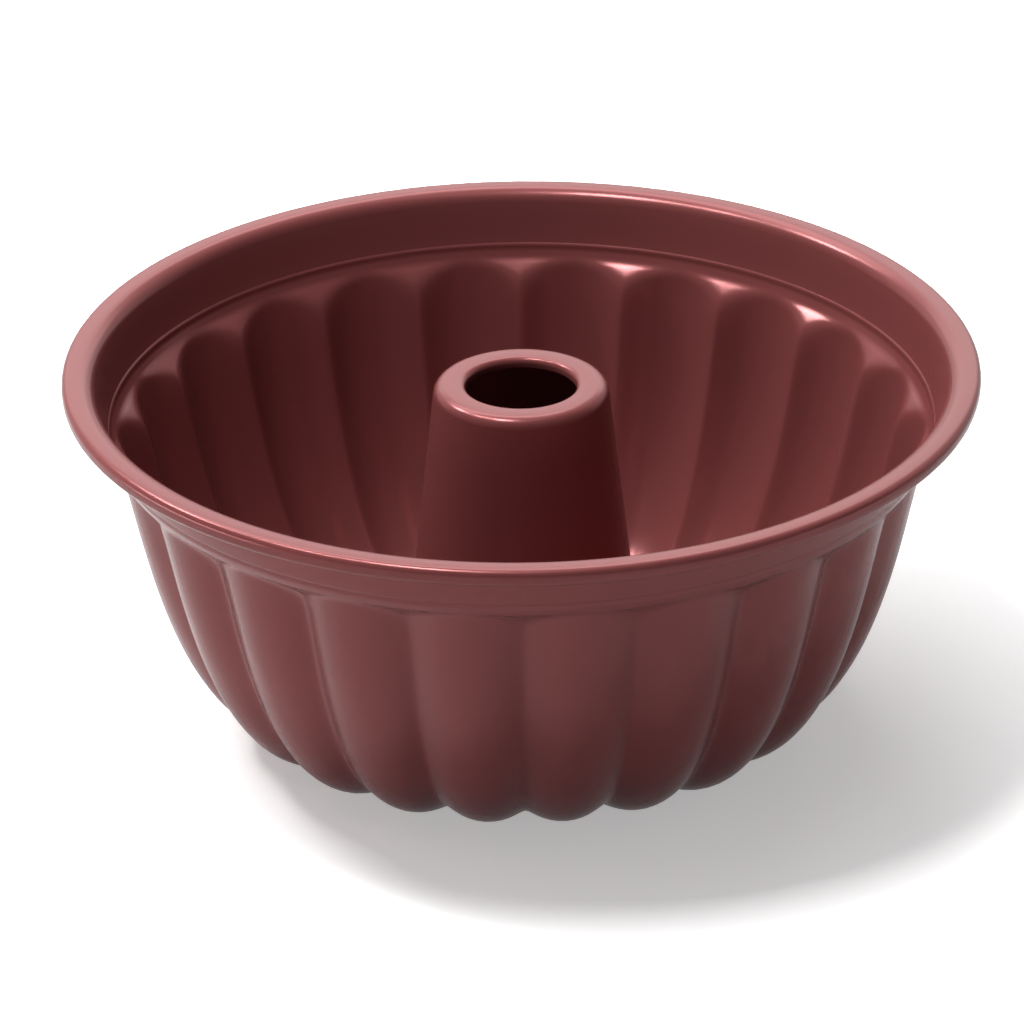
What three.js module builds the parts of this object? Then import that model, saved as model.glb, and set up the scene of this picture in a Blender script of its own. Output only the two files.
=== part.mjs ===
// Fluted tube pan: a ring-cake pan of coated steel sheet with a rolled, wired rim
// and a separate centre tube that is hemmed round the neck of the pan's base.
// Millimetres, +Z up. The origin is on the pan's axis, on the surface that it stands on.

import * as THREE from 'three';

const degrees = THREE.MathUtils.degToRad;

// Overall sizes and sheet
const RIM_RADIUS = 125; // axis to the outer edge of the rolled rim
const PAN_HEIGHT = 104; // table to the top of the flange
const SHEET = 0.8; // thickness of the coated sheet
const CLEARANCE = 0.3; // gap between pieces that seat on each other

// Rim, collar and step, from the outside inwards
const WIRE_DIAMETER = 1.6;
const RIM_FACE = 0.9; // straight outer face between the two bends of the rolled rim
const CURL_TURN = degrees(180); // how far the rim is rolled in below that face, round the wire
const FLANGE_WIDTH = 7.8; // rim edge to the corner that the fillet rounds off
const FLANGE_FILLET = 4.2;
const COLLAR_DRAFT = degrees(15);
const COLLAR_DEPTH = 13; // flange to the start of the step
const STEP_BEND = 1; // both bends of the step at the collar's foot
const STEP_LEAN = degrees(44); // slope of the step's small ledge, from upright

// Fluted wall and feet
const SHOULDER_LEAN = degrees(21); // lean of the plain band between the step and the flutes
const SHOULDER_LENGTH = 5;
const SHOULDER_BEND = 8;
const WALL_DRAFT = degrees(12.5); // lean of the wall's upper end
const FLUTE_COUNT = 22;
const FLUTE_DEPTH_TOP = 4.4; // crest to groove below the arches
const FLUTE_DEPTH_FOOT = 2.9; // crest to groove where the pan stands
const ARCH_ZONE = 5; // straight stretch of wall that holds the arches
const ARCH_SLOPE = 2; // how fast the ledges between the arches run inwards
const ARCH_EASE = 0.8; // how gently they set in
const WALL_TOP_REACH = 23; // how far the wall keeps its upper direction
const WALL_FOOT_REACH = 32; // how early it takes the direction of the feet
const FOOT_RADIUS = 60; // axis to the middle of the ring of feet
const FOOT_WIDTH = 7;
const FOOT_FLATTENING = 0.25; // how much of each lobe is pressed flat to stand on

// Base between the feet and the tube
const HUMP_HEIGHT = 11; // table to the middle of the sheet at the top of the hump
const HUMP_BEND = 3;
const HUMP_LEAN = degrees(50); // slope of the base where it rises to the hump
const HUMP_REACH = 7; // how far the rise keeps its direction at both ends
const FLUTE_END_SLOPE = 0.25; // how fast the flutes run out towards the hump
const NECK_LENGTH = 4.6; // straight neck turned down round the tube

// Centre tube
const TUBE_TOP_RADIUS = 23.8; // outer face at the top of the cone
const TUBE_FOOT_RADIUS = 33.9; // outer face of the straight foot in the neck
const TUBE_DROP = 6.4; // flange top down to the top of the tube
const TUBE_EDGE_BEND = 2.8;
const BORE_RADIUS = 15.2; // clear radius inside the turned-in lip
const LIP_BEND = 1.2;
const LIP_DEPTH = 1; // straight part of the lip inside the bore
const FOOT_BEND = 12; // where the cone runs into the straight foot
const HEM_HEIGHT = 3.4; // straight outer leg of the hem round the neck

// Facets
const SHELL_FACETS = 60; // round its plain rings
const TUBE_FACETS = 48;
const FACETS_PER_FLUTE = 5;
const FLUTED_FACETS = FLUTE_COUNT * FACETS_PER_FLUTE;
const ARC_STEP = degrees(52); // largest turn of one facet along a bend
const ARCH_STEPS = 4;
const WALL_STEPS = 6;
const RISE_STEPS = 3;
const WIRE_SIDES = 6;
const FIRST_ANGLE = -Math.PI / 2; // a groove faces -Y

// Places that the pieces share
const HALF_SHEET = SHEET / 2;
const curlRadius = WIRE_DIAMETER / 2 + CLEARANCE + HALF_SHEET;
const curlCentre = new THREE.Vector2(
  RIM_RADIUS - HALF_SHEET - curlRadius,
  PAN_HEIGHT - HALF_SHEET - curlRadius - RIM_FACE,
);
const neckRadius = TUBE_FOOT_RADIUS + CLEARANCE + HALF_SHEET;
const neckTop = HUMP_HEIGHT - HUMP_BEND;
const neckEnd = neckTop - NECK_LENGTH;

// Headings in the r-z plane
const QUARTER = Math.PI / 2;
const INWARDS = Math.PI;
const UP = QUARTER;

function towards(heading) {
  return new THREE.Vector2(Math.cos(heading), Math.sin(heading));
}

// The middle line of a sheet in the r-z plane, drawn as straight runs, bends and free curves.
// Each of them leaves in the direction in which the one before it ended.
class SheetLine {

  constructor(start, heading, plainFacets) {
    this.end = start;
    this.heading = heading;
    this.plainFacets = plainFacets;
    this.length = 0;
    this.stations = [];
    this.addStation(start, towards(heading), false);
  }

  // A point of the line with its left-hand normal and its distance along the line.
  addStation(point, tangent, fluted) {
    const normal = new THREE.Vector2(-tangent.y, tangent.x);
    const facets = fluted ? FLUTED_FACETS : this.plainFacets;
    this.stations.push({ point, normal, along: this.length, fluted, facets });
  }

  follow(curve, steps, heading, fluted = false) {
    for (let step = 1; step <= steps; step++) {
      const point = curve.getPoint(step / steps);
      this.length += point.distanceTo(this.end);
      this.addStation(point, curve.getTangent(step / steps), fluted);
      this.end = point;
    }
    this.heading = heading;
  }

  run(length, steps = 1, fluted = false) {
    const target = this.end.clone().addScaledVector(towards(this.heading), length);
    this.follow(new THREE.LineCurve(this.end, target), steps, this.heading, fluted);
  }

  // A bend of the given radius, to the left where the turn is positive.
  bend(radius, turn, fluted = false) {
    const toCentre = this.heading + Math.sign(turn) * QUARTER;
    const centre = this.end.clone().addScaledVector(towards(toCentre), radius);
    const from = toCentre + Math.PI;
    const arc = new THREE.EllipseCurve(centre.x, centre.y, radius, radius, from, from + turn, turn < 0);
    this.follow(arc, Math.ceil(Math.abs(turn) / ARC_STEP), this.heading + turn, fluted);
  }

  // A free fluted curve that keeps its first and its last direction for a given reach.
  flutedCurve(target, heading, firstReach, lastReach, steps) {
    const leave = this.end.clone().addScaledVector(towards(this.heading), firstReach);
    const arrive = target.clone().addScaledVector(towards(heading), -lastReach);
    const curve = new THREE.CubicBezierCurve(this.end, leave, arrive, target);
    this.follow(curve, steps, heading, true);
  }

}

// One ring of a sheet's skin: a station swept round the axis and set off to one side of the sheet.
// A fluted ring is drawn in by the depth of the flutes and pressed flat where it would pass the table.
function skinRing(station, offset, depthAt) {
  const lowest = HALF_SHEET - offset;
  const ring = [];
  for (let facet = 0; facet < station.facets; facet++) {
    const turn = facet / station.facets;
    const angle = FIRST_ANGLE + 2 * Math.PI * turn;
    const depth = station.fluted ? depthAt(station, turn) : 0;
    const place = station.point.clone().addScaledVector(station.normal, offset - depth);
    const height = station.fluted ? Math.max(place.y, lowest) : place.y;
    ring.push(new THREE.Vector3(place.x * Math.cos(angle), place.x * Math.sin(angle), height));
  }
  return ring;
}

// Triangles between two neighbouring rings, taken in the order in which their points come round.
function facesBetween(near, far) {
  const faces = [];
  const nearAt = (step) => near.first + step % near.count;
  const farAt = (step) => far.first + step % far.count;
  let nearStep = 0;
  let farStep = 0;
  while (nearStep < near.count || farStep < far.count) {
    if ((farStep + 1) / far.count <= (nearStep + 1) / near.count) {
      faces.push(nearAt(nearStep), farAt(farStep), farAt(farStep + 1));
      farStep++;
    } else {
      faces.push(nearAt(nearStep), farAt(farStep), nearAt(nearStep + 1));
      nearStep++;
    }
  }
  return faces;
}

// A closed sheet: the left-hand skin along the line, then the right-hand skin back to its start.
function sheetGeometry(line, depthAt) {
  const leftSkin = line.stations.map((station) => skinRing(station, HALF_SHEET, depthAt));
  const rightSkin = line.stations.map((station) => skinRing(station, -HALF_SHEET, depthAt));
  const skin = [...leftSkin, ...rightSkin.reverse()];
  const rings = [];
  let first = 0;
  for (const ring of skin) {
    rings.push({ first, count: ring.length });
    first += ring.length;
  }
  const faces = rings.flatMap((ring, index) => facesBetween(ring, rings[(index + 1) % rings.length]));
  const geometry = new THREE.BufferGeometry().setFromPoints(skin.flat());
  geometry.setIndex(faces);
  return geometry;
}

// The smallest of several limits, rounded off where one takes over from another.
function softMin(limits) {
  const sharpness = 2.5;
  const smallest = 1e-6;
  const sum = limits.reduce((total, limit) => total + Math.max(limit, smallest) ** -sharpness, 0);
  return sum ** (-1 / sharpness);
}

// The pressed shell: rolled rim, flange, collar, step, fluted wall, feet, hump and neck.
// The flutes are lobes that bulge between narrow grooves. A ledge below the shoulder cuts across
// the lobes, which gives them their arched tops, and they run out again before the hump.
function flutedShell() {
  const rimStart = curlCentre.clone().addScaledVector(towards(-CURL_TURN), curlRadius);
  const line = new SheetLine(rimStart, UP - CURL_TURN, SHELL_FACETS);
  line.bend(curlRadius, CURL_TURN);
  line.run(RIM_FACE);
  line.bend(curlRadius, QUARTER);

  const filletTurn = QUARTER - COLLAR_DRAFT;
  const filletTangent = FLANGE_FILLET * Math.tan(filletTurn / 2);
  line.run(FLANGE_WIDTH - HALF_SHEET - curlRadius - filletTangent);
  line.bend(FLANGE_FILLET, filletTurn);
  line.run(COLLAR_DEPTH / Math.cos(COLLAR_DRAFT) - filletTangent);
  line.bend(STEP_BEND, COLLAR_DRAFT - STEP_LEAN);
  line.bend(STEP_BEND, STEP_LEAN - SHOULDER_LEAN);
  line.run(SHOULDER_LENGTH);

  const fluteStart = line.length;
  line.bend(SHOULDER_BEND, SHOULDER_LEAN - WALL_DRAFT, true);
  line.run(ARCH_ZONE, ARCH_STEPS, true);
  const wallTop = line.end.x;
  const footOuter = new THREE.Vector2(FOOT_RADIUS + FOOT_WIDTH / 2, HALF_SHEET - FOOT_FLATTENING);
  line.flutedCurve(footOuter, INWARDS, WALL_TOP_REACH, WALL_FOOT_REACH, WALL_STEPS);
  line.run(FOOT_WIDTH, 1, true);
  const humpCentre = new THREE.Vector2(neckRadius + HUMP_BEND, neckTop);
  const humpStart = humpCentre.clone().addScaledVector(towards(UP - HUMP_LEAN), HUMP_BEND);
  line.flutedCurve(humpStart, INWARDS - HUMP_LEAN, HUMP_REACH, HUMP_REACH, RISE_STEPS);
  const fluteEnd = line.length;

  line.bend(HUMP_BEND, QUARTER + HUMP_LEAN);
  line.run(NECK_LENGTH);

  function depthAt(station, turn) {
    const across = 2 * (turn * FLUTE_COUNT % 1) - 1;
    const share = (station.point.x - FOOT_RADIUS) / (wallTop - FOOT_RADIUS);
    const full = THREE.MathUtils.lerp(FLUTE_DEPTH_FOOT, FLUTE_DEPTH_TOP, share);
    const ledge = ARCH_SLOPE * (Math.hypot(station.along - fluteStart, ARCH_EASE) - ARCH_EASE);
    const runOut = FLUTE_END_SLOPE * (fluteEnd - station.along);
    return softMin([full * across ** 2, ledge, runOut]);
  }
  return sheetGeometry(line, depthAt);
}

// The drawn tube: turned-in lip, flat top, cone, straight foot, and the hem round the shell's neck.
function centreTube() {
  const top = PAN_HEIGHT - TUBE_DROP - HALF_SHEET;
  const footRadius = TUBE_FOOT_RADIUS - HALF_SHEET;
  const topRadius = TUBE_TOP_RADIUS - HALF_SHEET;
  const taper = Math.atan2(footRadius - topRadius, top - neckTop);
  const coneLength = Math.hypot(footRadius - topRadius, top - neckTop);
  const edgeTurn = QUARTER - taper;
  const edgeTangent = TUBE_EDGE_BEND * Math.tan(edgeTurn / 2);
  const footTangent = FOOT_BEND * Math.tan(taper / 2);
  const lipRadius = BORE_RADIUS + HALF_SHEET;

  const lipStart = new THREE.Vector2(lipRadius, top - LIP_BEND - LIP_DEPTH);
  const line = new SheetLine(lipStart, UP, TUBE_FACETS);
  line.run(LIP_DEPTH);
  line.bend(LIP_BEND, -QUARTER);
  line.run(topRadius - edgeTangent - lipRadius - LIP_BEND);
  line.bend(TUBE_EDGE_BEND, -edgeTurn);
  line.run(coneLength - edgeTangent - footTangent);
  line.bend(FOOT_BEND, -taper);
  line.run(neckTop - footTangent - neckEnd);
  line.bend(neckRadius - footRadius, 2 * QUARTER);
  line.run(HEM_HEIGHT);
  return sheetGeometry(line);
}

// The steel wire that the rim is rolled round.
function rimWire() {
  const ring = new THREE.TorusGeometry(curlCentre.x, WIRE_DIAMETER / 2, WIRE_SIDES, SHELL_FACETS);
  return ring.translate(0, 0, curlCentre.y);
}

function coating() {
  return new THREE.MeshStandardMaterial({ color: 0x753b3b, roughness: 0.28, metalness: 0.4 });
}

function bareSteel() {
  return new THREE.MeshStandardMaterial({ color: 0x9b9b99, roughness: 0.4, metalness: 1 });
}

function piece(name, geometry, material) {
  const mesh = new THREE.Mesh(geometry, material);
  mesh.name = name;
  return mesh;
}

const pan = new THREE.Group();
pan.name = 'fluted_tube_pan';
pan.add(piece('fluted_shell', flutedShell(), coating()));
pan.add(piece('centre_tube', centreTube(), coating()));
pan.add(piece('rim_wire', rimWire(), bareSteel()));

export default pan;
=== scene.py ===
# Fluted tube pan: a ring-cake pan of coated steel sheet with a rolled, wired rim and a hemmed centre tube.
# Metres, +Z up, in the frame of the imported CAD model: the pan stands on z = 0, on its own axis.

import math

import bpy
from mathutils import Matrix, Vector


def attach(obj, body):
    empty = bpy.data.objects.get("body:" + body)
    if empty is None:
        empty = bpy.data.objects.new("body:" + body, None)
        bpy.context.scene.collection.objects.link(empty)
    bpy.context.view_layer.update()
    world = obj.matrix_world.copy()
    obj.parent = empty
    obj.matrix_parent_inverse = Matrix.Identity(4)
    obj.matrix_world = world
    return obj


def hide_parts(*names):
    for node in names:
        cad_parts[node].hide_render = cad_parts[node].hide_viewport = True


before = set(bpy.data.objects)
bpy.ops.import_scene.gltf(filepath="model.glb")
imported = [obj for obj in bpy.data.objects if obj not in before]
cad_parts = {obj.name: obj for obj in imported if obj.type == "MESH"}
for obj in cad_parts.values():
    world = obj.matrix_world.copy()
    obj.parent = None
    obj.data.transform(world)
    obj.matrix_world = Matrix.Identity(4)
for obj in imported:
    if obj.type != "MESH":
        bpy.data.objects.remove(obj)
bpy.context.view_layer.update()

MM = 0.001
QUARTER = math.pi / 2

# Overall sizes and sheet, the same as the CAD model's
RIM_RADIUS = 125 * MM
PAN_HEIGHT = 104 * MM
SHEET = 0.8 * MM
CLEARANCE = 0.3 * MM

# Rim, collar and step, which is drawn finer here than in the CAD model
WIRE_DIAMETER = 1.6 * MM
RIM_FACE = 0.9 * MM
CURL_TURN = math.radians(180)
FLANGE_WIDTH = 7.8 * MM
FLANGE_FILLET = 4.2 * MM
COLLAR_DRAFT = math.radians(15)
COLLAR_DEPTH = 14.4 * MM
STEP_BEND = 0.8 * MM
STEP_LEAN = math.radians(50)
STEP_FOOT_LEAN = math.radians(6)
STEP_FOOT = 0.5 * MM
STEP_FOOT_BEND = 3 * MM

# Fluted wall and feet, with gentler ledges between the arches than the CAD model has
WALL_DRAFT = math.radians(12.5)
FLUTE_COUNT = 22
FLUTE_DEPTH_TOP = 4.4 * MM
FLUTE_DEPTH_FOOT = 2.9 * MM
LOBE_POWER = 2.4  # how flat the lobes are between the grooves
GROOVE_ROUND = 0.1  # how far the bend of a groove reaches, as a share of half a flute
SHOULDER_LEAN = math.radians(27)
SHOULDER_LENGTH = 1.6 * MM
SHOULDER_BEND = 12 * MM
ARCH_ZONE = 6.5 * MM
ARCH_SLOPE = 0.9
ARCH_EASE = 1.2 * MM  # how gently the ledges between the arches set in
TAKEOVER_SHARPNESS = 2.5  # how sharply a groove, a ledge and the run-out take over from each other
LEAST_DEPTH = 0.0001 * MM
WALL_TOP_REACH = 20.5 * MM
WALL_FOOT_REACH = 32 * MM
FOOT_RADIUS = 60 * MM
FOOT_WIDTH = 7 * MM
FOOT_FLATTENING = 0.25 * MM

# Base between the feet and the tube
HUMP_HEIGHT = 11 * MM
HUMP_BEND = 3 * MM
HUMP_LEAN = math.radians(50)
HUMP_REACH = 7 * MM
FLUTE_END_SLOPE = 0.25
NECK_LENGTH = 4.6 * MM

# Centre tube
TUBE_TOP_RADIUS = 23.8 * MM
TUBE_FOOT_RADIUS = 33.9 * MM
TUBE_DROP = 6.4 * MM
TUBE_EDGE_BEND = 2.8 * MM
BORE_RADIUS = 15.2 * MM
LIP_BEND = 1.2 * MM
LIP_DEPTH = 1 * MM
FOOT_BEND = 12 * MM
HEM_HEIGHT = 3.4 * MM

# Fineness of the meshes
BEND_STEP = math.radians(12)
FACETS_PER_FLUTE = 16  # a power of two, so that every groove falls on a column of points
SHELL_FACETS = FLUTE_COUNT * FACETS_PER_FLUTE
TUBE_FACETS = SHELL_FACETS // 2
ARCH_STEPS = 16
WALL_STEPS = 30
RISE_STEPS = 10
WIRE_SIDES = 16
FIRST_ANGLE = -QUARTER  # a groove faces the camera's side of the pan
MERGE_DISTANCE = 0.002 * MM
SHARP_ANGLE = math.radians(50)  # edges that bend more than this are shaded as edges

HALF_SHEET = SHEET / 2
CURL_RADIUS = WIRE_DIAMETER / 2 + CLEARANCE + HALF_SHEET
CURL_CENTRE = Vector((
    RIM_RADIUS - HALF_SHEET - CURL_RADIUS,
    PAN_HEIGHT - HALF_SHEET - CURL_RADIUS - RIM_FACE,
))
NECK_RADIUS = TUBE_FOOT_RADIUS + CLEARANCE + HALF_SHEET
NECK_TOP = HUMP_HEIGHT - HUMP_BEND
NECK_END = NECK_TOP - NECK_LENGTH

# Patterns of the coating and of the wire
FLAKE_SIZE = 0.5 * MM
CLOUD_SIZE = 45 * MM
PEEL_SIZE = 1.5 * MM
PEEL_HEIGHT = 0.05 * MM
PEEL_STRENGTH = 0.05
NOISE_LOW, NOISE_HIGH = 0.3, 0.7  # the range that the mixed noise mostly keeps to
WIRE_MARK_SIZE = 2 * MM

# Studio: the floor, the backdrop and the soft lights, each with its place, its size and its radiance
FLOOR_REACH = 4.0
SEEN_LIFT = 0.385  # white added to the floor where it is seen directly
MIRRORED_LIFT = 0.22  # white added to the floor where the pan mirrors it
ROOM_STRENGTH = 0.1
BACKDROP_STRENGTH = 1.0
BACKDROP_EDGE = 0.6  # how far round to the side the mirrored backdrop fades in
LIGHT_AIM = (0, 0, 0.06)
SOFT_LIGHTS = {
    "key_high": ((-0.34, -0.12, 1.52), (0.34, 0.26), 62.0),
    "key_middle": ((-0.67, 0.09, 1.4), (0.2, 0.2), 46.0),
    "key_low": ((-0.9, 0.49, 1.15), (0.24, 0.2), 62.0),
    "panel_overhead": ((-0.4, 0.2, 2.4), (2.6, 2.4), 0.9),
    "panel_back": ((0, 1.6, 0.85), (2.0, 0.5), 1.7),
    "panel_back_high": ((-0.4, 0.9, 1.3), (1.5, 0.6), 5.0),
    "panel_left_low": ((-1.25, -0.2, 0.04), (0.9, 0.07), 26.0),
    "panel_right": ((1.0, -0.2, 0.04), (0.8, 0.07), 4.0),
}


def linear(hex_colour):
    """An sRGB hex colour as linear red, green, blue and alpha."""
    shares = [int(hex_colour[at:at + 2], 16) / 255 for at in (1, 3, 5)]
    return [s / 12.92 if s <= 0.04045 else ((s + 0.055) / 1.055) ** 2.4 for s in shares] + [1.0]


def add_node(tree, kind, settings=None, inputs=None):
    """Adds a node, sets its properties, and gives each named or numbered input a value or a link."""
    node = tree.nodes.new(kind)
    for name, value in (settings or {}).items():
        setattr(node, name, value)
    for name, value in (inputs or {}).items():
        if isinstance(value, bpy.types.NodeSocket):
            tree.links.new(value, node.inputs[name])
        else:
            node.inputs[name].default_value = value
    return node


def towards(heading):
    """The unit vector of a heading in the r-z plane."""
    return Vector((math.cos(heading), math.sin(heading)))


class SheetLine:
    """The middle line of a sheet in the r-z plane, drawn as straight runs, bends and free curves."""

    def __init__(self, start, heading):
        self.end = Vector(start)
        self.heading = heading
        self.length = 0.0
        self.stations = []
        self.add_station(self.end, heading, False)

    def add_station(self, point, heading, fluted):
        """Goes on to a point and notes it, with the sheet's outer side and its distance along the line."""
        self.length += (point - self.end).length
        self.end = point
        self.heading = heading
        self.stations.append((point.copy(), towards(heading + QUARTER), self.length, fluted))

    def run(self, length, steps=1, fluted=False):
        """A straight run on in the present heading."""
        start = self.end.copy()
        for step in range(1, steps + 1):
            self.add_station(start + towards(self.heading) * (length * step / steps), self.heading, fluted)

    def bend(self, radius, turn, fluted=False, finer=1):
        """A bend of the given radius, to the left where the turn is positive."""
        side = math.copysign(QUARTER, turn)
        centre = self.end + towards(self.heading + side) * radius
        steps = math.ceil(abs(turn) / BEND_STEP) * finer
        first = self.heading
        for step in range(1, steps + 1):
            heading = first + turn * step / steps
            self.add_station(centre - towards(heading + side) * radius, heading, fluted)

    def fluted_curve(self, target, heading, first_reach, last_reach, steps):
        """A free fluted curve that keeps its first and its last direction for a given reach."""
        start = self.end.copy()
        leave = start + towards(self.heading) * first_reach
        arrive = target - towards(heading) * last_reach
        for step in range(1, steps + 1):
            t = step / steps
            s = 1 - t
            point = start * s**3 + leave * (3 * s * s * t) + arrive * (3 * s * t * t) + target * t**3
            slope = (leave - start) * (s * s) + (arrive - leave) * (2 * s * t) + (target - arrive) * (t * t)
            self.add_station(point, math.atan2(slope.y, slope.x), True)


def shell_line():
    """The pressed shell from its rolled rim to its neck, and where along it the flutes start and end."""
    rim_start = CURL_CENTRE + towards(-CURL_TURN) * CURL_RADIUS
    line = SheetLine(rim_start, QUARTER - CURL_TURN)
    line.bend(CURL_RADIUS, CURL_TURN)
    line.run(RIM_FACE)
    line.bend(CURL_RADIUS, QUARTER)

    fillet_turn = QUARTER - COLLAR_DRAFT
    fillet_tangent = FLANGE_FILLET * math.tan(fillet_turn / 2)
    line.run(FLANGE_WIDTH - HALF_SHEET - CURL_RADIUS - fillet_tangent, steps=2)
    line.bend(FLANGE_FILLET, fillet_turn)
    line.run(COLLAR_DEPTH / math.cos(COLLAR_DRAFT) - fillet_tangent, steps=3)
    line.bend(STEP_BEND, COLLAR_DRAFT - STEP_LEAN)
    line.bend(STEP_BEND, STEP_LEAN - STEP_FOOT_LEAN)
    line.run(STEP_FOOT)
    line.bend(STEP_FOOT_BEND, STEP_FOOT_LEAN - SHOULDER_LEAN)
    line.run(SHOULDER_LENGTH, steps=4)

    flute_start = line.length
    line.bend(SHOULDER_BEND, SHOULDER_LEAN - WALL_DRAFT, fluted=True, finer=2)
    line.run(ARCH_ZONE, ARCH_STEPS, fluted=True)
    arch_radius = line.end.x
    foot_outer = Vector((FOOT_RADIUS + FOOT_WIDTH / 2, HALF_SHEET - FOOT_FLATTENING))
    line.fluted_curve(foot_outer, math.pi, WALL_TOP_REACH, WALL_FOOT_REACH, WALL_STEPS)
    line.heading = math.pi
    line.run(FOOT_WIDTH, steps=2, fluted=True)
    hump_centre = Vector((NECK_RADIUS + HUMP_BEND, NECK_TOP))
    hump_start = hump_centre + towards(QUARTER - HUMP_LEAN) * HUMP_BEND
    line.fluted_curve(hump_start, math.pi - HUMP_LEAN, HUMP_REACH, HUMP_REACH, RISE_STEPS)
    flute_end = line.length

    line.bend(HUMP_BEND, QUARTER + HUMP_LEAN)
    line.run(NECK_LENGTH, steps=2)
    return line, flute_start, flute_end, arch_radius


def tube_line():
    """The centre tube from its turned-in lip to the hem round the shell's neck."""
    top = PAN_HEIGHT - TUBE_DROP - HALF_SHEET
    foot_radius = TUBE_FOOT_RADIUS - HALF_SHEET
    top_radius = TUBE_TOP_RADIUS - HALF_SHEET
    taper = math.atan2(foot_radius - top_radius, top - NECK_TOP)
    cone_length = math.hypot(foot_radius - top_radius, top - NECK_TOP)
    edge_turn = QUARTER - taper
    edge_tangent = TUBE_EDGE_BEND * math.tan(edge_turn / 2)
    foot_tangent = FOOT_BEND * math.tan(taper / 2)
    lip_radius = BORE_RADIUS + HALF_SHEET

    line = SheetLine((lip_radius, top - LIP_BEND - LIP_DEPTH), QUARTER)
    line.run(LIP_DEPTH, steps=2)
    line.bend(LIP_BEND, -QUARTER)
    line.run(top_radius - edge_tangent - lip_radius - LIP_BEND, steps=2)
    line.bend(TUBE_EDGE_BEND, -edge_turn)
    line.run(cone_length - edge_tangent - foot_tangent, steps=6)
    line.bend(FOOT_BEND, -taper)
    line.run(NECK_TOP - foot_tangent - NECK_END, steps=2)
    line.bend(NECK_RADIUS - foot_radius, math.pi)
    line.run(HEM_HEIGHT, steps=2)
    return line


def outline_object(name, line):
    """The closed outline of a sheet: its left skin along the line, then its right skin back to the start."""
    rows = [(station, HALF_SHEET) for station in line.stations]
    rows += [(station, -HALF_SHEET) for station in reversed(line.stations)]
    mesh = bpy.data.meshes.new(name)
    points = [(point.x, 0, point.y) for (point, _, _, _), _ in rows]
    edges = [(at, (at + 1) % len(rows)) for at in range(len(rows))]
    mesh.from_pydata(points, edges, [])
    facing = mesh.attributes.new("facing", "FLOAT_VECTOR", "POINT")
    facing.data.foreach_set("vector", [c for (_, side, _, _), _ in rows for c in (side.x, 0, side.y)])
    values = {
        "along": [along for (_, _, along, _), _ in rows],
        "offset": [offset for _, offset in rows],
        "fluted": [float(fluted) for (_, _, _, fluted), _ in rows],
    }
    for attribute, numbers in values.items():
        mesh.attributes.new(attribute, "FLOAT", "POINT").data.foreach_set("value", numbers)
    piece = bpy.data.objects.new(name, mesh)
    bpy.context.scene.collection.objects.link(piece)
    return piece


def new_tree(name, sockets):
    """An empty Geometry Nodes tree with a geometry output and the given inputs."""
    tree = bpy.data.node_groups.new(name, "GeometryNodeTree")
    tree.interface.new_socket("Geometry", in_out="OUTPUT", socket_type="NodeSocketGeometry")
    for label, kind in sockets.items():
        tree.interface.new_socket(label, in_out="INPUT", socket_type=kind)
    return tree


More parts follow.
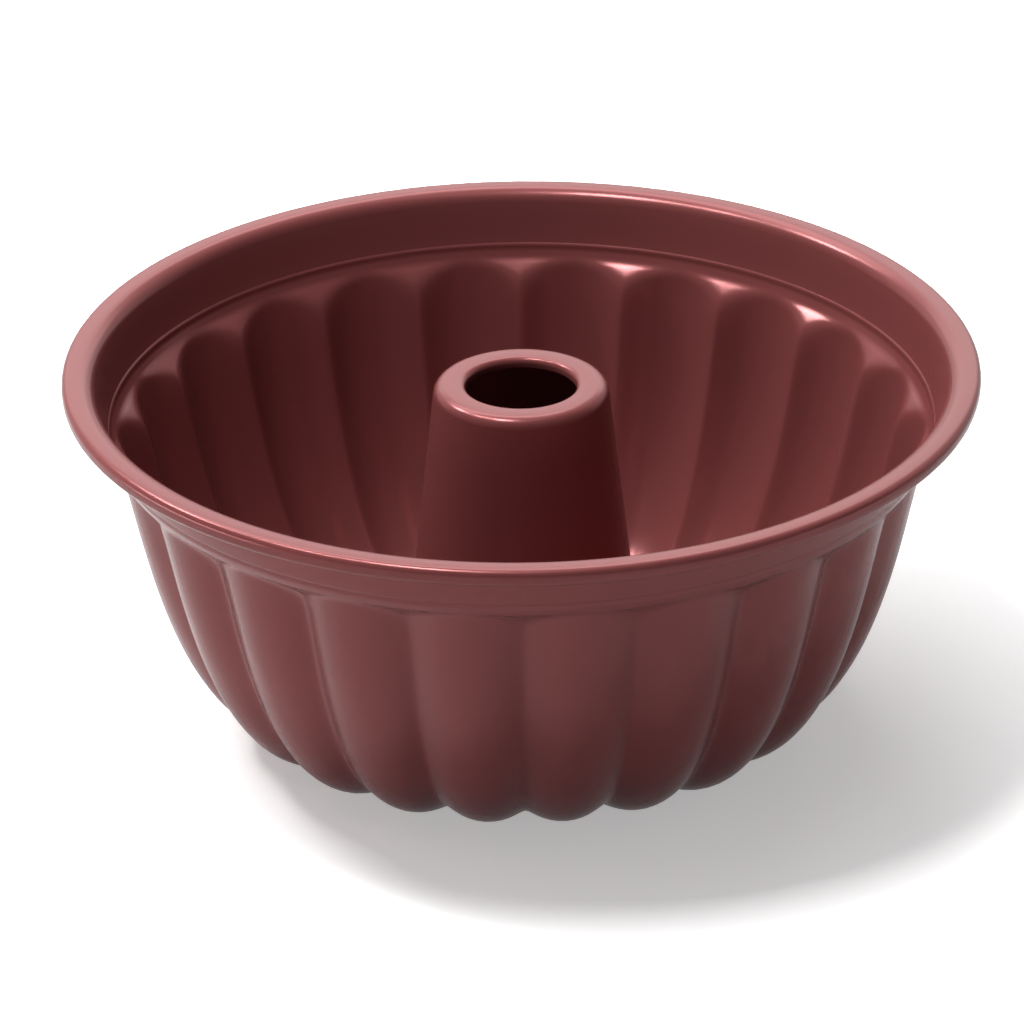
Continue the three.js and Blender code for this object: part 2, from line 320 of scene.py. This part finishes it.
def pressed_sheet_tree():
    """Sweeps a sheet's outline round the axis and presses the flutes into it."""
    number = "NodeSocketFloat"
    tree = new_tree("pressed sheet", {
        "Outline": "NodeSocketGeometry",
        "Facets": "NodeSocketInt",
        "Flutes": "NodeSocketInt",
        "Arch depth": number,
        "Foot depth": number,
        "Arch radius": number,
        "Foot radius": number,
        "Lobe power": number,
        "Groove round": number,
        "Flute start": number,
        "Arch slope": number,
        "Arch ease": number,
        "Flute end": number,
        "End slope": number,
        "Half sheet": number,
        "First angle": number,
        "Finish": "NodeSocketMaterial",
    })
    given = add_node(tree, "NodeGroupInput").outputs

    # A grid with one row for each point of the outline, and one column for each facet
    size = add_node(tree, "GeometryNodeAttributeDomainSize", {"component": "MESH"}, {
        0: given["Outline"],
    })
    count = size.outputs["Point Count"]
    rows = add_node(tree, "FunctionNodeIntegerMath", {"operation": "ADD"}, {0: count, 1: 1})
    columns = add_node(tree, "FunctionNodeIntegerMath", {"operation": "ADD"}, {0: given["Facets"], 1: 1})
    grid = add_node(tree, "GeometryNodeMeshGrid", None, {
        "Vertices X": rows.outputs[0], "Vertices Y": columns.outputs[0],
    })
    index = add_node(tree, "GeometryNodeInputIndex").outputs[0]
    row = add_node(tree, "FunctionNodeIntegerMath", {"operation": "DIVIDE_FLOOR"}, {
        0: index, 1: columns.outputs[0],
    })
    column = add_node(tree, "FunctionNodeIntegerMath", {"operation": "MODULO"}, {
        0: index, 1: columns.outputs[0],
    })
    station = add_node(tree, "FunctionNodeIntegerMath", {"operation": "MODULO"}, {
        0: row.outputs[0], 1: count,
    })

    # What the outline says at each row
    sampled = {}
    wanted = {
        "facing": "FLOAT_VECTOR",
        "position": "FLOAT_VECTOR",
        "along": "FLOAT",
        "offset": "FLOAT",
        "fluted": "FLOAT",
    }
    for label, kind in wanted.items():
        if label == "position":
            source = add_node(tree, "GeometryNodeInputPosition").outputs[0]
        else:
            read = add_node(tree, "GeometryNodeInputNamedAttribute", {"data_type": kind}, {
                "Name": label,
            })
            source = read.outputs[0]
        sampled[label] = add_node(tree, "GeometryNodeSampleIndex", {"data_type": kind, "domain": "POINT"}, {
            "Geometry": given["Outline"], "Value": source, "Index": station.outputs[0],
        }).outputs[0]

    # The place within a flute, from -1 to 1 between grooves, with columns drawn together at the grooves
    flutes_done = add_node(tree, "ShaderNodeMath", {"operation": "MULTIPLY"}, {
        0: column.outputs[0], 1: given["Flutes"],
    })
    share = add_node(tree, "ShaderNodeMath", {"operation": "DIVIDE"}, {
        0: flutes_done.outputs[0], 1: given["Facets"],
    })
    flute = add_node(tree, "ShaderNodeMath", {"operation": "FLOOR"}, {0: share.outputs[0]})
    within = add_node(tree, "ShaderNodeMath", {"operation": "FRACT"}, {0: share.outputs[0]})
    swing = add_node(tree, "ShaderNodeMath", {"operation": "MULTIPLY_ADD"}, {
        0: within.outputs[0], 1: math.pi, 2: -QUARTER,
    })
    across = add_node(tree, "ShaderNodeMath", {"operation": "SINE"}, {0: swing.outputs[0]})
    half_way = add_node(tree, "ShaderNodeMath", {"operation": "MULTIPLY_ADD"}, {
        0: across.outputs[0], 1: 0.5, 2: 0.5,
    })
    turns = add_node(tree, "ShaderNodeMath", {"operation": "ADD"}, {
        0: flute.outputs[0], 1: half_way.outputs[0],
    })
    part = add_node(tree, "ShaderNodeMath", {"operation": "DIVIDE"}, {
        0: turns.outputs[0], 1: given["Flutes"],
    })
    angle = add_node(tree, "ShaderNodeMath", {"operation": "MULTIPLY_ADD"}, {
        0: part.outputs[0], 1: 2 * math.pi, 2: given["First angle"],
    })

    # The lobe between two grooves: a power curve whose grooves are rounded by a bend
    size_across = add_node(tree, "ShaderNodeMath", {"operation": "ABSOLUTE"}, {0: across.outputs[0]})
    from_groove = add_node(tree, "ShaderNodeMath", {"operation": "SUBTRACT"}, {
        0: 1, 1: size_across.outputs[0],
    })
    squared = add_node(tree, "ShaderNodeMath", {"operation": "POWER"}, {0: from_groove.outputs[0], 1: 2})
    round_squared = add_node(tree, "ShaderNodeMath", {"operation": "POWER"}, {
        0: given["Groove round"], 1: 2,
    })
    summed = add_node(tree, "ShaderNodeMath", {"operation": "ADD"}, {
        0: squared.outputs[0], 1: round_squared.outputs[0],
    })
    rounded = add_node(tree, "ShaderNodeMath", {"operation": "SQRT"}, {0: summed.outputs[0]})
    full_reach = add_node(tree, "ShaderNodeMath", {"operation": "ADD"}, {0: given["Groove round"], 1: 1})
    reach = add_node(tree, "ShaderNodeMath", {"operation": "SUBTRACT"}, {
        0: full_reach.outputs[0], 1: rounded.outputs[0],
    })
    lobe = add_node(tree, "ShaderNodeMath", {"operation": "POWER"}, {
        0: reach.outputs[0], 1: given["Lobe power"],
    })
    place = add_node(tree, "ShaderNodeSeparateXYZ", None, {0: sampled["position"]})
    full = add_node(tree, "ShaderNodeMapRange", {"clamp": False}, {
        "Value": place.outputs["X"], "From Min": given["Foot radius"], "From Max": given["Arch radius"],
        "To Min": given["Foot depth"], "To Max": given["Arch depth"],
    })
    valley = add_node(tree, "ShaderNodeMath", {"operation": "MULTIPLY"}, {
        0: full.outputs[0], 1: lobe.outputs[0],
    })

    # The ledge that cuts the lobes to arches, and the ramp on which they run out before the hump
    past_start = add_node(tree, "ShaderNodeMath", {"operation": "SUBTRACT"}, {
        0: sampled["along"], 1: given["Flute start"],
    })
    past_squared = add_node(tree, "ShaderNodeMath", {"operation": "POWER"}, {
        0: past_start.outputs[0], 1: 2,
    })
    ease_squared = add_node(tree, "ShaderNodeMath", {"operation": "POWER"}, {
        0: given["Arch ease"], 1: 2,
    })
    eased = add_node(tree, "ShaderNodeMath", {"operation": "ADD"}, {
        0: past_squared.outputs[0], 1: ease_squared.outputs[0],
    })
    curved = add_node(tree, "ShaderNodeMath", {"operation": "SQRT"}, {0: eased.outputs[0]})
    set_in = add_node(tree, "ShaderNodeMath", {"operation": "SUBTRACT"}, {
        0: curved.outputs[0], 1: given["Arch ease"],
    })
    ledge = add_node(tree, "ShaderNodeMath", {"operation": "MULTIPLY"}, {
        0: set_in.outputs[0], 1: given["Arch slope"],
    })
    to_end = add_node(tree, "ShaderNodeMath", {"operation": "SUBTRACT"}, {
        0: given["Flute end"], 1: sampled["along"],
    })
    run_out = add_node(tree, "ShaderNodeMath", {"operation": "MULTIPLY"}, {
        0: to_end.outputs[0], 1: given["End slope"],
    })

    # The least of the three, rounded off where one takes over from another
    total = None
    for limit in (valley, ledge, run_out):
        above = add_node(tree, "ShaderNodeMath", {"operation": "MAXIMUM"}, {
            0: limit.outputs[0], 1: LEAST_DEPTH,
        })
        weight = add_node(tree, "ShaderNodeMath", {"operation": "POWER"}, {
            0: above.outputs[0], 1: -TAKEOVER_SHARPNESS,
        })
        if total is None:
            total = weight
        else:
            total = add_node(tree, "ShaderNodeMath", {"operation": "ADD"}, {
                0: total.outputs[0], 1: weight.outputs[0],
            })
    least = add_node(tree, "ShaderNodeMath", {"operation": "POWER"}, {
        0: total.outputs[0], 1: -1 / TAKEOVER_SHARPNESS,
    })
    depth = add_node(tree, "ShaderNodeMath", {"operation": "MULTIPLY"}, {
        0: least.outputs[0], 1: sampled["fluted"],
    })

    # Draws the skin in by that depth, presses it flat at the table and turns it round the axis
    shift = add_node(tree, "ShaderNodeMath", {"operation": "SUBTRACT"}, {
        0: sampled["offset"], 1: depth.outputs[0],
    })
    drawn = add_node(tree, "ShaderNodeVectorMath", {"operation": "SCALE"}, {
        0: sampled["facing"], "Scale": shift.outputs[0],
    })
    moved = add_node(tree, "ShaderNodeVectorMath", {"operation": "ADD"}, {
        0: sampled["position"], 1: drawn.outputs[0],
    })
    skin = add_node(tree, "ShaderNodeSeparateXYZ", None, {0: moved.outputs[0]})
    table = add_node(tree, "ShaderNodeMath", {"operation": "SUBTRACT"}, {
        0: given["Half sheet"], 1: sampled["offset"],
    })
    height = add_node(tree, "ShaderNodeMath", {"operation": "MAXIMUM"}, {
        0: skin.outputs["Z"], 1: table.outputs[0],
    })
    upright = add_node(tree, "ShaderNodeCombineXYZ", None, {
        "X": skin.outputs["X"], "Z": height.outputs[0],
    })
    turned = add_node(tree, "ShaderNodeVectorRotate", {"rotation_type": "Z_AXIS"}, {
        "Vector": upright.outputs[0], "Angle": angle.outputs[0],
    })
    swept = add_node(tree, "GeometryNodeSetPosition", None, {
        "Geometry": grid.outputs["Mesh"], "Position": turned.outputs[0],
    })

    closed = add_node(tree, "GeometryNodeMergeByDistance", None, {
        "Geometry": swept.outputs[0], "Distance": MERGE_DISTANCE,
    })
    smooth = add_node(tree, "GeometryNodeSetShadeSmooth", None, {"Geometry": closed.outputs[0]})
    real = add_node(tree, "GeometryNodeRealizeInstances", None, {"Geometry": smooth.outputs[0]})
    finished = add_node(tree, "GeometryNodeSetMaterial", None, {
        "Geometry": real.outputs[0], "Material": given["Finish"],
    })
    add_node(tree, "NodeGroupOutput", None, {0: finished.outputs[0]})
    return tree


def ring_wire_tree():
    """A round wire bent to a closed ring."""
    tree = new_tree("ring wire", {
        "Seed": "NodeSocketGeometry",
        "Ring radius": "NodeSocketFloat",
        "Wire radius": "NodeSocketFloat",
        "Height": "NodeSocketFloat",
        "Finish": "NodeSocketMaterial",
    })
    given = add_node(tree, "NodeGroupInput").outputs
    ring = add_node(tree, "GeometryNodeCurvePrimitiveCircle", None, {
        "Resolution": SHELL_FACETS, "Radius": given["Ring radius"],
    })
    section = add_node(tree, "GeometryNodeCurvePrimitiveCircle", None, {
        "Resolution": WIRE_SIDES, "Radius": given["Wire radius"],
    })
    wire = add_node(tree, "GeometryNodeCurveToMesh", None, {
        "Curve": ring.outputs["Curve"], "Profile Curve": section.outputs["Curve"],
    })
    lift = add_node(tree, "ShaderNodeCombineXYZ", None, {"Z": given["Height"]})
    lifted = add_node(tree, "GeometryNodeSetPosition", None, {
        "Geometry": wire.outputs[0], "Offset": lift.outputs[0],
    })
    smooth = add_node(tree, "GeometryNodeSetShadeSmooth", None, {"Geometry": lifted.outputs[0]})
    real = add_node(tree, "GeometryNodeRealizeInstances", None, {"Geometry": smooth.outputs[0]})
    finished = add_node(tree, "GeometryNodeSetMaterial", None, {
        "Geometry": real.outputs[0], "Material": given["Finish"],
    })
    add_node(tree, "NodeGroupOutput", None, {0: finished.outputs[0]})
    return tree


def grow(piece, tree, values):
    """Runs a tree on a piece and keeps its result as a plain mesh whose faces point outwards."""
    modifier = piece.modifiers.new(tree.name, "NODES")
    modifier.node_group = tree
    for item in tree.interface.items_tree:
        if item.item_type == "SOCKET" and item.in_out == "INPUT" and item.name in values:
            modifier[item.identifier] = values[item.name]
    depsgraph = bpy.context.evaluated_depsgraph_get()
    mesh = bpy.data.meshes.new_from_object(piece.evaluated_get(depsgraph), depsgraph=depsgraph)
    piece.modifiers.clear()
    piece.data = mesh
    mesh.name = piece.name
    if signed_volume(mesh) < 0:
        mesh.flip_normals()
    mesh.set_sharp_from_angle(angle=SHARP_ANGLE)
    return piece


def signed_volume(mesh):
    """The volume of a closed mesh, below zero where its faces point inwards."""
    mesh.calc_loop_triangles()
    total = 0.0
    for triangle in mesh.loop_triangles:
        a, b, c = (mesh.vertices[at].co for at in triangle.vertices)
        total += a.dot(b.cross(c)) / 6
    return total


def coating_material():
    """Baked non-stick enamel with mica, sprayed on steel sheet: a satin burgundy whose lit parts go pink."""
    material = bpy.data.materials.new("baked_mica_enamel_burgundy")
    material.use_nodes = True
    tree = material.node_tree
    tree.nodes.clear()
    place = add_node(tree, "ShaderNodeTexCoord").outputs["Object"]

    # Mica flakes are about 0.05 mm. They are drawn as grains of 0.5 mm, so that they show.
    flakes = add_node(tree, "ShaderNodeTexNoise", None, {
        "Vector": place, "Scale": 1 / FLAKE_SIZE, "Detail": 1,
    })
    # The spray settles a little thicker and thinner over hand-sized areas
    cloud = add_node(tree, "ShaderNodeTexNoise", None, {
        "Vector": place, "Scale": 1 / CLOUD_SIZE, "Detail": 2,
    })
    both = add_node(tree, "ShaderNodeMix", {"data_type": "FLOAT"}, {
        "Factor": 0.5, 2: flakes.outputs["Fac"], 3: cloud.outputs["Fac"],
    })
    colour = add_node(tree, "ShaderNodeValToRGB", None, {"Fac": both.outputs[0]})
    colour.color_ramp.elements[0].position = NOISE_LOW
    colour.color_ramp.elements[0].color = linear("#743d3d")
    colour.color_ramp.elements[1].position = NOISE_HIGH
    colour.color_ramp.elements[1].color = linear("#783f3f")
    satin = add_node(tree, "ShaderNodeMapRange", None, {
        "Value": both.outputs[0], "From Min": NOISE_LOW, "From Max": NOISE_HIGH,
        "To Min": 0.225, "To Max": 0.235,
    })
    # Orange peel of the sprayed film, about 1.5 mm from bump to bump
    peel = add_node(tree, "ShaderNodeTexNoise", None, {
        "Vector": place, "Scale": 1 / PEEL_SIZE, "Detail": 1,
    })
    relief = add_node(tree, "ShaderNodeBump", None, {
        "Height": peel.outputs["Fac"], "Strength": PEEL_STRENGTH, "Distance": PEEL_HEIGHT,
    })
    surface = add_node(tree, "ShaderNodeBsdfPrincipled", None, {
        "Base Color": colour.outputs["Color"], "Roughness": satin.outputs[0], "Normal": relief.outputs[0],
        "Metallic": 0.25, "IOR": 1.26,
    })
    add_node(tree, "ShaderNodeOutputMaterial", None, {"Surface": surface.outputs[0]})
    return material


def wire_material():
    """Drawn mild steel wire: a dull grey metal, a little blotched by the drawing grease."""
    material = bpy.data.materials.new("drawn_mild_steel_wire")
    material.use_nodes = True
    tree = material.node_tree
    tree.nodes.clear()
    place = add_node(tree, "ShaderNodeTexCoord").outputs["Object"]
    marks = add_node(tree, "ShaderNodeTexNoise", None, {
        "Vector": place, "Scale": 1 / WIRE_MARK_SIZE, "Detail": 3,
    })
    colour = add_node(tree, "ShaderNodeValToRGB", None, {"Fac": marks.outputs["Fac"]})
    colour.color_ramp.elements[0].color = linear("#8d8d8b")
    colour.color_ramp.elements[1].color = linear("#a9a9a6")
    surface = add_node(tree, "ShaderNodeBsdfPrincipled", None, {
        "Base Color": colour.outputs["Color"], "Metallic": 1.0, "Roughness": 0.4,
    })
    add_node(tree, "ShaderNodeOutputMaterial", None, {"Surface": surface.outputs[0]})
    return material


def floor_material():
    """Matt white studio paper."""
    material = bpy.data.materials.new("matt_white_paper")
    material.use_nodes = True
    tree = material.node_tree
    tree.nodes.clear()
    # Seen directly or mirrored, the paper is lifted towards white and keeps the pan's shadow. The light
    # that it throws on the pan comes from its plain colour.
    rays = add_node(tree, "ShaderNodeLightPath")
    mirrored = add_node(tree, "ShaderNodeMath", {"operation": "ADD", "use_clamp": True}, {
        0: rays.outputs["Is Glossy Ray"], 1: rays.outputs["Is Transmission Ray"],
    })
    tone_off_camera = add_node(tree, "ShaderNodeMix", {"data_type": "RGBA"}, {
        0: mirrored.outputs[0], 6: linear("#d0d0d0"), 7: linear("#c6c6c6"),
    })
    tone = add_node(tree, "ShaderNodeMix", {"data_type": "RGBA"}, {
        0: rays.outputs["Is Camera Ray"], 6: tone_off_camera.outputs[2], 7: linear("#f9f9f9"),
    })
    paper = add_node(tree, "ShaderNodeBsdfDiffuse", None, {"Color": tone.outputs[2]})
    mirrored_lift = add_node(tree, "ShaderNodeMath", {"operation": "MULTIPLY"}, {
        0: mirrored.outputs[0], 1: MIRRORED_LIFT,
    })
    lift = add_node(tree, "ShaderNodeMath", {"operation": "MULTIPLY_ADD"}, {
        0: rays.outputs["Is Camera Ray"], 1: SEEN_LIFT, 2: mirrored_lift.outputs[0],
    })
    white = add_node(tree, "ShaderNodeEmission", None, {
        "Color": linear("#ffffff"), "Strength": lift.outputs[0],
    })
    lifted = add_node(tree, "ShaderNodeAddShader", None, {0: paper.outputs[0], 1: white.outputs[0]})
    add_node(tree, "ShaderNodeOutputMaterial", None, {"Surface": lifted.outputs[0]})
    return material


def studio_floor():
    """A flat sheet of paper that the pan stands on."""
    mesh = bpy.data.meshes.new("studio_floor")
    corners = [(x * FLOOR_REACH, y * FLOOR_REACH, 0) for x, y in ((-1, -1), (1, -1), (1, 1), (-1, 1))]
    mesh.from_pydata(corners, [], [(0, 1, 2, 3)])
    floor = bpy.data.objects.new("studio_floor", mesh)
    mesh.materials.append(floor_material())
    bpy.context.scene.collection.objects.link(floor)


def soft_box(name, place, size, radiance):
    """A rectangular soft light of the given radiance, turned towards the middle of the pan."""
    lamp = bpy.data.lights.new(name, "AREA")
    lamp.shape = "RECTANGLE"
    lamp.size, lamp.size_y = size
    lamp.energy = radiance * math.pi * size[0] * size[1]
    light = bpy.data.objects.new(name, lamp)
    light.location = place
    light.rotation_euler = (Vector(LIGHT_AIM) - Vector(place)).to_track_quat("-Z", "Y").to_euler()
    bpy.context.scene.collection.objects.link(light)


def studio_light():
    """Three keys up on the left, panels overhead and behind, low side panels, and a white backdrop behind."""
    for name, (place, size, radiance) in SOFT_LIGHTS.items():
        soft_box(name, place, size, radiance)
    world = bpy.data.worlds.new("white_studio")
    world.use_nodes = True
    bpy.context.scene.world = world
    tree = world.node_tree
    tree.nodes.clear()
    rays = add_node(tree, "ShaderNodeLightPath")
    sight = add_node(tree, "ShaderNodeTexCoord")
    axes = add_node(tree, "ShaderNodeSeparateXYZ", None, {0: sight.outputs["Generated"]})
    behind = add_node(tree, "ShaderNodeMapRange", {"interpolation_type": "SMOOTHSTEP"}, {
        "Value": axes.outputs["Y"], "From Min": 0.0, "From Max": BACKDROP_EDGE,
    })
    mirrored = add_node(tree, "ShaderNodeMath", {"operation": "ADD"}, {
        0: rays.outputs["Is Glossy Ray"], 1: rays.outputs["Is Transmission Ray"],
    })
    mirrored_behind = add_node(tree, "ShaderNodeMath", {"operation": "MULTIPLY"}, {
        0: mirrored.outputs[0], 1: behind.outputs[0],
    })
    shown = add_node(tree, "ShaderNodeMath", {"operation": "ADD", "use_clamp": True}, {
        0: rays.outputs["Is Camera Ray"], 1: mirrored_behind.outputs[0],
    })
    room = add_node(tree, "ShaderNodeBackground", None, {
        "Color": linear("#ffffff"), "Strength": ROOM_STRENGTH,
    })
    backdrop = add_node(tree, "ShaderNodeBackground", None, {
        "Color": linear("#ffffff"), "Strength": BACKDROP_STRENGTH,
    })
    seen = add_node(tree, "ShaderNodeMixShader", None, {
        0: shown.outputs[0], 1: room.outputs[0], 2: backdrop.outputs[0],
    })
    add_node(tree, "ShaderNodeOutputWorld", None, {"Surface": seen.outputs[0]})


def photo_camera():
    """A long lens at the photograph's viewing angle. Sizes in pixels are for a picture 1024 pixels wide."""
    picture = 1024
    focal_pixels = 5504
    aim_right, aim_up = 10.5, 144
    elevation = math.radians(25.3)
    roll = math.radians(0.65)
    fitted_point = Vector((0, 0, 102 * MM))  # the middle of the rim's plane, which the lens was fitted to
    distance = 12 * RIM_RADIUS
    sensor_width = 36
    forward = Vector((0, math.cos(elevation), -math.sin(elevation)))
    right = Vector((1, 0, 0))
    up = right.cross(forward)
    look = (forward - right * (aim_right / focal_pixels) - up * (aim_up / focal_pixels)).normalized()
    turn = look.to_track_quat("-Z", "Y").to_matrix().to_4x4() @ Matrix.Rotation(-roll, 4, "Z")
    lens = bpy.data.cameras.new("photo_camera")
    lens.sensor_width = sensor_width
    lens.lens = focal_pixels / picture * sensor_width
    camera = bpy.data.objects.new("photo_camera", lens)
    camera.matrix_world = Matrix.Translation(fitted_point - forward * distance) @ turn
    bpy.context.scene.collection.objects.link(camera)
    bpy.context.scene.camera = camera


def finished(piece, node, slot):
    """Makes a finished piece move with the root body and hides the CAD part that it stands for. The slot is
    not used.
    """
    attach(piece, "root")
    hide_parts(node)


coating = coating_material()
sheet_tree = pressed_sheet_tree()
shell, flute_start, flute_end, arch_radius = shell_line()
shared = {
    "Flutes": FLUTE_COUNT, "Lobe power": LOBE_POWER, "Groove round": GROOVE_ROUND, "Half sheet": HALF_SHEET,
    "First angle": FIRST_ANGLE, "Finish": coating,
}
pan_shell = grow(outline_object("pan_shell", shell), sheet_tree, {
    **shared, "Facets": SHELL_FACETS,
    "Arch depth": FLUTE_DEPTH_TOP, "Foot depth": FLUTE_DEPTH_FOOT,
    "Arch radius": arch_radius, "Foot radius": FOOT_RADIUS,
    "Flute start": flute_start, "Arch slope": ARCH_SLOPE, "Arch ease": ARCH_EASE,
    "Flute end": flute_end, "End slope": FLUTE_END_SLOPE,
})
finished(pan_shell, "fluted_shell", "coating")

pan_tube = grow(outline_object("pan_tube", tube_line()), sheet_tree, {**shared, "Facets": TUBE_FACETS})
finished(pan_tube, "centre_tube", "coating")

pan_wire = bpy.data.objects.new("pan_wire", bpy.data.meshes.new("pan_wire"))
bpy.context.scene.collection.objects.link(pan_wire)
grow(pan_wire, ring_wire_tree(), {
    "Ring radius": CURL_CENTRE.x, "Wire radius": WIRE_DIAMETER / 2, "Height": CURL_CENTRE.y,
    "Finish": wire_material(),
})
finished(pan_wire, "rim_wire", "wire")

studio_floor()
studio_light()
photo_camera()
bpy.context.scene.view_settings.view_transform = "Standard"
